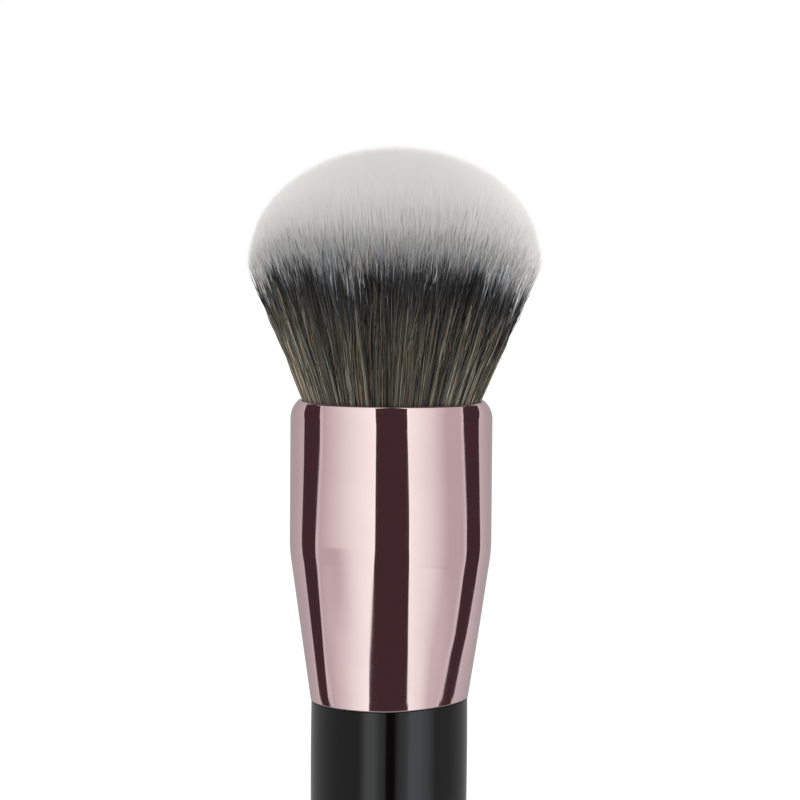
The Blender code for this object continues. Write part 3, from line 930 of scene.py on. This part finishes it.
def fibre_finish():
    """Reads the map: its right half holds the browner fibres, and in each half the shade runs from 0 to 1."""
    finish, tree, shader = new_finish("dyed_fibre", FIBRE_ROUGHNESS)
    where = new_node(tree, "ShaderNodeUVMap")
    where.uv_map = "OFBake"
    split = new_node(tree, "ShaderNodeSeparateXYZ", {"Vector": where.outputs["UV"]})
    across, up = split.outputs["X"], split.outputs["Y"]
    shade = worked_out(tree, "FRACT", worked_out(tree, "MULTIPLY", across, 2.0))
    brown = worked_out(tree, "GREATER_THAN", across, 0.5)
    grey_fibre = by_height(tree, up, dye_colours(TAUPE_GREY, BLACK_EDGE, SMOKE, MIST))
    brown_fibre = by_height(tree, up, dye_colours(TAUPE_BROWN, WARM_EDGE, WARM_SMOKE, WARM_MIST))
    dyed = mixed(tree, grey_fibre, brown_fibre, brown)
    strength = mixed(tree, by_height(tree, up, DARKEST), by_height(tree, up, LIGHTEST), shade)
    shaded = mixed(tree, dyed, strength, blend="MULTIPLY")
    wire(tree, shader, {"Base Color": shaded}, Specular_IOR_Level=FIBRE_SPECULAR)
    return finish


# %% [markdown]
# The fibres are made in rings from the middle out, like the four rings of plain strands in the frame. A ring
# has an inner and an outer share of the bundle's width, and is split into pieces that stay light enough to
# handle. Fibres near the rim show their whole side, so they have more stations than those that show only a
# tip. Mirror reflections leave the fibres out, because the photograph's lip shows none.

# %% Grow the head
RIM_SHARE = 0.67
RIM_STATIONS = (0.0, 0.22, 0.42, 0.61, 0.78, 0.90)
INNER_STATIONS = (0.0, 0.55, 0.87)
RINGS = {
    "bristles_core": (0.0, 0.35, 1),
    "bristles_inner": (0.35, 0.65, 2),
    "bristles_middle": (0.65, 0.85, 3),
    "bristles_outer": (0.85, 1.1, 3),
}


def grow_head():
    """Every ring's pieces, each riding on the brush and standing for its ring of strands."""
    finish = fibre_finish()
    pieces = []
    for ring, (inner, outer, parts) in RINGS.items():
        chosen = np.flatnonzero((fibre_share >= inner) & (fibre_share < outer))
        stations = RIM_STATIONS if outer > RIM_SHARE else INNER_STATIONS
        for number, part in enumerate(np.array_split(chosen, parts), 1):
            piece = fibre_piece(ring.replace("bristles", "fibres") + f"_{number}", part, stations)
            wear(piece, ring, finish)
            piece.visible_glossy = False
            pieces.append(piece)
            triangles = len(piece.data.loops) - 2 * len(piece.data.polygons)
            print(piece.name, len(part), "fibres,", triangles, "triangles")
    return pieces


head = grow_head()

# %% [markdown]
# ## What the ferrule hides
#
# The cup, the resin that pots the roots, the thread that binds them and the glue are never seen on a whole
# brush. They are in the model all the same, so each keeps its plain solid and gets a simple finish of its
# own: drawn metal, amber resin, twisted thread and set glue.

# %% Finish the hidden pieces
GRAIN_RELIEF, GRAIN_STRENGTH = 0.02 * MM, 0.3


def plain_finish(name, light, dark, roughness, stretch, scale, metallic=0.0):
    """Two shades mixed by stretched noise, which also makes a shallow relief."""
    finish, tree, shader = new_finish(name, roughness, metallic)
    grain = stretched_noise(tree, stretch, scale)
    colour = ramp(tree, grain, [(0.35, dark), (0.65, light)])
    relief = bump(tree, grain, GRAIN_RELIEF, GRAIN_STRENGTH)
    wire(tree, shader, {"Base Color": colour, "Normal": relief})
    return finish


def finish_node(names, finish):
    """Gives plain solids a finish."""
    for name in names:
        cad_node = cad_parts[name]
        cad_node.data.materials.clear()
        cad_node.data.materials.append(finish)


GLUE_RINGS = [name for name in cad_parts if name.startswith("tenon_glue")]
drawn = plain_finish("drawn_cup", (0.78, 0.78, 0.79), (0.68, 0.68, 0.70), 0.32, (1, 1, 0.08), 900.0, 1.0)
amber = plain_finish("amber_resin", (0.50, 0.31, 0.11), (0.36, 0.20, 0.07), 0.2, (1, 1, 1), 300.0)
twist = plain_finish("twisted_thread", (0.74, 0.72, 0.68), (0.52, 0.50, 0.46), 0.85, (0.4, 0.4, 6), 700.0)
cured = plain_finish("cured_glue", (0.64, 0.60, 0.47), (0.52, 0.48, 0.36), 0.35, (1, 1, 1), 450.0)
finish_node(["knot_cup"], drawn)
finish_node(["root_resin"], amber)
finish_node(["binding_thread"], twist)
finish_node(["knot_glue", *GLUE_RINGS], cured)
print("glue rings:", len(GLUE_RINGS))

# %% [markdown]
# ## The studio
#
# A polished ferrule shows the studio more than itself. The photograph has the light of a product table: a
# large softbox on each side, a dark gap between them where the camera stands, dark gaps behind them, and a
# dimmer backdrop. Each is a tall glowing wall here, seen only in reflections.
#
# The glow changes along a wall, so a wall has stops of bearing from the camera, in degrees, and glow. The
# dark bands on the metal are the gaps between walls, so each upright end of a wall is a line of its own, with
# stops of height, in metres, and bearing. The straight tube mirrors the upper part of these lines and the
# cone the lower part, which bends the bands as the photograph does. Above the lines, each row of a wall has a
# share of the wall's radius and a height, and there the softboxes lean in like a tent.

# %% Plan the walls that the ferrule mirrors
FERRULE_WALLS = {
    "left_softbox": [
        (-17.3, 1.30), (-19.0, 1.14), (-47.0, 0.92), (-83.0, 0.54), (-85.0, 0.66), (-88.5, 0.66),
    ],
    "right_softbox": [(17.7, 1.30), (20.0, 1.10), (44.0, 0.86), (64.0, 0.54), (83.0, 0.53), (88.9, 0.74)],
    "left_backdrop": [(-116.2, 0.56), (-131.0, 0.48), (-150.0, 0.40), (-180.0, 0.36)],
    "right_backdrop": [(117.7, 0.64), (124.0, 0.55), (145.0, 0.42), (180.0, 0.36)],
}
EDGE_LINES = {
    "left_softbox": (
        [(0.6, -21.0), (0.3, -18.4), (0.0, -17.0), (-0.2, -17.9), (-0.5, -19.6), (-0.512, -21.6),
         (-0.552, -28.6), (-0.557, -29.0), (-0.567, -30.0), (-0.573, -31.0)],
        [(0.6, -110.0), (0.3, -96.8), (0.19, -91.2), (0.05, -88.2), (-0.015, -88.2), (-0.06, -94.6),
         (-0.35, -96.2), (-0.4, -101.8), (-0.411, -101.9), (-0.418, -100.6), (-0.437, -97.0)],
    ),
    "right_softbox": (
        [(0.6, 20.4), (0.3, 18.3), (0.0, 18.0), (-0.045, 21.0), (-0.5, 22.5), (-0.565, 26.2),
         (-0.571, 27.1), (-0.58, 28.5), (-0.585, 30.0)],
        [(0.6, 108.0), (0.3, 97.0), (0.2, 92.0), (0.07, 89.4), (-0.004, 89.6), (-0.05, 96.6), (-0.34, 98.0),
         (-0.37, 97.0), (-0.416, 92.9), (-0.445, 89.7), (-0.455, 88.2), (-0.465, 86.6), (-0.475, 85.2),
         (-0.486, 82.8), (-0.5, 80.0)],
    ),
    "left_backdrop": (
        [(0.3, -129.0), (0.15, -122.4), (0.02, -116.5), (-0.02, -117.3), (-0.06, -121.2), (-0.26, -120.7),
         (-0.34, -123.3), (-0.352, -121.0), (-0.37, -117.8)],
        [(0.0, -180.0)],
    ),
    "right_backdrop": (
        [(0.3, 132.0), (0.16, 126.6), (0.04, 117.9), (-0.007, 118.0), (-0.06, 123.9), (-0.272, 124.9),
         (-0.298, 122.0), (-0.315, 119.9), (-0.353, 116.2), (-0.388, 111.7), (-0.399, 110.2), (-0.42, 105.8)],
        [(0.0, 180.0)],
    ),
}
TENT_TOP = [(1.0, 1.2), (0.75, 2.0), (0.4, 2.4), (0.02, 2.5)]
BACKDROP_TOP = [(1.0, 0.8)]
FERRULE_WALL_RADIUS = 1.4
print(len(FERRULE_WALLS), "walls for the ferrule, at", FERRULE_WALL_RADIUS, "m")

# %% [markdown]
# A wall's finish gives light in the wall's own glow and lets rays through, so that no wall hides another.
# Light linking keeps a wall to the pieces that it is for, and the camera and soft light don't see it.

# %% Make surfaces that only reflections see
DIM_GLOW = 0.55
WHITE = (1.0, 1.0, 1.0)


def glow_finish(name, dim_colour, bright_colour):
    """Glows by the surface's own attribute, in a colour that shifts from dim to bright."""
    finish = bpy.data.materials.new(name)
    finish.use_nodes = True
    tree = finish.node_tree
    tree.nodes.clear()
    glow = new_node(tree, "ShaderNodeAttribute")
    glow.attribute_name = "glow"
    colour = ramp(tree, glow.outputs["Fac"], [(DIM_GLOW, dim_colour), (1.0, bright_colour)])
    emission = new_node(tree, "ShaderNodeEmission", {"Color": colour, "Strength": glow.outputs["Fac"]})
    clear = new_node(tree, "ShaderNodeBsdfTransparent")
    both = new_node(tree, "ShaderNodeAddShader", {0: emission.outputs[0], 1: clear.outputs[0]})
    new_node(tree, "ShaderNodeOutputMaterial", {"Surface": both.outputs[0]})
    finish.cycles.emission_sampling = "NONE"
    return finish


def link_light(light, lights_up):
    """Light linking: only the listed pieces get this light."""
    linked = bpy.data.collections.new(light.name + "_lights")
    for piece in lights_up:
        linked.objects.link(piece)
    light.light_linking.receiver_collection = linked


def reflections_only(wall, glows, finish, lights_up):
    """Gives each point of a glowing surface its glow, hides the surface from the camera and from soft
    light, and links it to the pieces that mirror it."""
    kept = wall.data.attributes.new("glow", "FLOAT", "POINT")
    kept.data.foreach_set("value", glows.ravel().astype(np.float32))
    wall.data.materials.append(finish)
    wall.visible_camera = False
    wall.visible_diffuse = False
    wall.visible_transmission = False
    wall.visible_shadow = False
    link_light(wall, lights_up)


# %% [markdown]
# A softbox isn't evenly bright. On the cone, the photograph has a soft dim patch in the left one's reflection
# and a soft bright patch in the right one's. A patch is a share by which the glow changes, strongest at its
# middle bearing and between the heights of its top and its foot.

# %% Build a glowing wall
PATCHES = {
    "left_softbox": dict(middle=-66.0, spread=17.0, top=-0.08, foot=-0.455, tilt=-0.0023, change=-0.27),
    "right_softbox": dict(middle=62.0, spread=20.0, top=-0.42, foot=-0.75, tilt=0.0, change=0.20),
}
PATCH_FADE = 0.00625
BEARING_STEPS = 60
WALL_FOOT = -2.0
WALL_ROWS = np.arange(-0.7, 0.0, 0.015)


def patch_glow(bearings, heights, middle, spread, top, foot, tilt, change):
    """How much a soft patch changes the glow: a bell over the bearing, times a fade in under its top, times
    a fade out over its foot, which tilts with the bearing."""
    side = np.exp(-(((bearings - middle) / spread) ** 2))
    below = 1 / (1 + np.exp((heights - top) / PATCH_FADE))
    above = 1 / (1 + np.exp((foot + tilt * (bearings - middle) - heights) / PATCH_FADE))
    return 1 + change * side * below * above


def glowing_wall(name, stops, edges, top, radius, finish, lights_up):
    """A tall curved wall round the brush, made of rows of points.

    Each of the wall's two upright ends follows an edge line of (height, bearing), and the stops of (bearing,
    glow) between the ends keep their shares of the way from one to the other. Over the edge lines the wall
    has the rows of its top, at the stops' own bearings. A bearing turns a point round the axis.
    """
    way = np.linspace(0, len(stops) - 1, BEARING_STEPS)
    bearing, glow = (np.interp(way, np.arange(len(stops)), column) for column in np.array(stops).T)
    share = (bearing - bearing[0]) / (bearing[-1] - bearing[0])
    first, last = (np.array(sorted(line)).T for line in edges)
    lower = np.unique(np.concatenate([[WALL_FOOT], first[0], last[0], WALL_ROWS]))
    starts, ends = np.interp(lower, *first)[:, None], np.interp(lower, *last)[:, None]
    upper = np.array(top)
    bearings = np.concatenate([starts + share * (ends - starts), bearing + 0 * upper[:, :1]])
    heights = np.concatenate([lower, upper[:, 1]])[:, None] + 0 * bearings
    sizes = radius * np.concatenate([1 + 0 * lower, upper[:, 0]])[:, None]
    turns = np.radians(bearings - 90)
    points = around_axis(sizes, turns, heights)
    index = np.arange(turns.size).reshape(turns.shape)
    quads = np.stack([index[:-1, :-1], index[:-1, 1:], index[1:, 1:], index[1:, :-1]], axis=-1)
    glows = glow + 0 * bearings
    if name in PATCHES:
        glows = glows * patch_glow(bearings, heights, **PATCHES[name])
    reflections_only(mesh_object(name, points, quads), glows, finish, lights_up)


# %% [markdown]
# The handle mirrors walls of its own, a strip on each side, because its soft streaks aren't where the
# ferrule's are. A strip's ends are plain upright lines.

# %% Make the walls glow
HANDLE_WALLS = {
    "left_strip": [
        (-5.0, 0.55), (-7.2, 0.58), (-13.0, 0.66), (-21.0, 1.28), (-32.0, 1.35), (-44.0, 0.34),
        (-80.0, 0.34), (-115.0, 0.42), (-180.0, 0.35),
    ],
    "right_strip": [
        (9.0, 0.20), (12.5, 0.44), (16.0, 0.66), (24.0, 0.78), (32.0, 1.55), (45.0, 1.45),
        (60.0, 0.98), (72.0, 0.38), (98.0, 0.33), (118.0, 0.36), (180.0, 0.35),
    ],
}
HANDLE_WALL_RADIUS = 1.6

softbox = glow_finish("softbox_glow", WHITE, (1.0, 1.13, 1.07))
strips = {
    "left_strip": glow_finish("left_strip_glow", (0.96, 1.03, 1.01), (0.97, 1.02, 1.01)),
    "right_strip": glow_finish("right_strip_glow", (0.97, 1.0, 1.02), (0.97, 1.01, 1.04)),
}
for wall_name, stops in FERRULE_WALLS.items():
    top = TENT_TOP if "softbox" in wall_name else BACKDROP_TOP
    glowing_wall(wall_name, stops, EDGE_LINES[wall_name], top, FERRULE_WALL_RADIUS, softbox, [ferrule])
for wall_name, stops in HANDLE_WALLS.items():
    ends = ([(0.0, stops[0][0])], [(0.0, stops[-1][0])])
    strip = strips[wall_name]
    glowing_wall(wall_name, stops, ends, BACKDROP_TOP, HANDLE_WALL_RADIUS, strip, [handle])
print(len(HANDLE_WALLS), "walls for the handle, at", HANDLE_WALL_RADIUS, "m")

# %% [markdown]
# The thin edge of the ferrule's mouth faces down, so it mirrors the white table as a bright line, and seen
# from above the cone and the handle mirror the table too. A glowing disc under the floor does that, because
# the floor itself is kept out of the reflections. Its glow fades out towards its rim, so that no hard edge
# shows in the metal.

# %% Light the edge of the mouth from below
TABLE_Z = -0.5
TABLE_RADII = (1.15, 0.4)
TABLE_GLOWS = (0.0, 0.8)
TABLE_STEPS = 64


def flat_disc(name, radii, height, steps):
    """Level rings of points, the widest first, and a middle point that a fan joins to the last ring."""
    sizes = np.array(radii)[:, None]
    turns = np.arange(steps) * 2 * math.pi / steps
    points = np.concatenate([around_axis(sizes, turns, height), [(0.0, 0.0, height)]])
    index = np.arange(sizes.size * steps).reshape(-1, steps)
    after = np.roll(index, -1, axis=1)
    quads = np.stack([index[:-1], after[:-1], after[1:], index[1:]], axis=-1)
    fan = np.stack([index[-1], after[-1], np.full(steps, index.size)], axis=-1)
    return mesh_object(name, points, quads, fan)


table_glows = np.append(np.repeat(TABLE_GLOWS, TABLE_STEPS), TABLE_GLOWS[-1])
table = flat_disc("table_glow", TABLE_RADII, TABLE_Z, TABLE_STEPS)
reflections_only(table, table_glows, softbox, [ferrule, handle])
print("table glow:", len(table.data.polygons), "faces")

# %% [markdown]
# The head has lamps of its own, linked to the fibres alone: one above and behind for the pale crown, one in
# front, and two low ones on each side that lighten the edges of the taupe length. Each has a bearing from
# the camera and an elevation in degrees, a distance and a size in metres, and a power in watts.

# %% Light the head
LAMPS = {
    "top_lamp": (180.0, 78.0, 0.8, 0.8, 4.6),
    "front_lamp": (-6.0, 38.0, 0.8, 0.4, 2.4),
    "right_lamp": (102.0, -5.0, 0.5, 0.2, 2.9),
    "left_lamp": (-98.0, -6.0, 0.5, 0.2, 1.25),
    "low_right_lamp": (115.0, -11.0, 0.5, 0.1, 1.3),
    "low_left_lamp": (-118.0, -11.0, 0.5, 0.1, 1.2),
}
HEAD_MIDDLE = Vector((0.0, 0.0, CROWN_Z))


def soft_lamp(name, bearing, elevation, distance, size, power):
    """A square lamp at a bearing from the camera and an elevation, aimed at the middle of the head."""
    data = bpy.data.lights.new(name, "AREA")
    data.size = size
    data.energy = power
    made = bpy.data.objects.new(name, data)
    turn = math.radians(bearing - 90)
    rise = math.radians(elevation)
    away = Vector((math.cos(turn) * math.cos(rise), math.sin(turn) * math.cos(rise), math.sin(rise)))
    made.location = HEAD_MIDDLE + distance * away
    made.rotation_euler = away.to_track_quat("Z", "Y").to_euler()
    made.visible_camera = False
    scene.collection.objects.link(made)
    link_light(made, head)


for lamp_name, lamp in LAMPS.items():
    soft_lamp(lamp_name, *lamp)
print(len(LAMPS), "lamps round the head")

# %% [markdown]
# The floor is a wide pale disc, and the white of the room lights everything softly from all sides. Glossy
# surfaces see a dim room instead, with only the glowing walls in it, which is what keeps the metal's dark
# bands dark.

# %% Lay the floor and light the room
FLOOR_RADIUS = 3.0
FLOOR_STEPS = 128
FLOOR_COLOUR = (0.86, 0.86, 0.86)
FLOOR_SHADE = 0.985
FLOOR_NOISE = ((1, 1, 1), 6.0)
FLOOR_ROUGHNESS = 0.9
FLOOR_GLOW = 0.75
ROOM_LIGHT = 1.0
SOFT_FILL = 0.46
DIM_ROOM = (0.062, 0.034, 0.038)


def pale_floor():
    """A disc at the height that the brush stands on, which glows enough to stay near white."""
    floor = flat_disc("floor", [FLOOR_RADIUS], 0.0, FLOOR_STEPS)
    finish, tree, shader = new_finish("pale_floor", FLOOR_ROUGHNESS)
    slightly = tuple(FLOOR_SHADE * c for c in FLOOR_COLOUR)
    cloud = ramp(tree, stretched_noise(tree, *FLOOR_NOISE), [(0.3, slightly), (0.7, FLOOR_COLOUR)])
    wire(tree, shader, {"Base Color": cloud}, Specular_IOR_Level=0.0)
    wire(tree, shader, Emission_Color=(*WHITE, 1.0), Emission_Strength=FLOOR_GLOW)
    floor.data.materials.append(finish)
    floor.visible_glossy = False


def light_room():
    """White for the camera and for soft light, and a dim warm room for mirror reflections."""
    world = bpy.data.worlds.new("studio")
    world.use_nodes = True
    tree = world.node_tree
    tree.nodes.clear()
    ray = new_node(tree, "ShaderNodeLightPath")
    white = new_node(tree, "ShaderNodeBackground", Color=(*WHITE, 1.0), Strength=ROOM_LIGHT)
    fill = new_node(tree, "ShaderNodeBackground", Color=(*WHITE, 1.0), Strength=SOFT_FILL)
    dim = new_node(tree, "ShaderNodeBackground", Color=(*DIM_ROOM, 1.0), Strength=1.0)
    by_camera = {"Fac": ray.outputs["Is Camera Ray"], 1: fill.outputs[0], 2: white.outputs[0]}
    soft = new_node(tree, "ShaderNodeMixShader", by_camera)
    by_mirror = {"Fac": ray.outputs["Is Glossy Ray"], 1: soft.outputs[0], 2: dim.outputs[0]}
    seen = new_node(tree, "ShaderNodeMixShader", by_mirror)
    new_node(tree, "ShaderNodeOutputWorld", {"Surface": seen.outputs[0]})
    scene.world = world


pale_floor()
light_room()
print("floor", 2 * FLOOR_RADIUS, "m across")

# %% [markdown]
# ## Update the scene
#
# The dressed brush has to fill the same box as the plain solids.

# %% Update the view layer
bpy.context.view_layer.update()
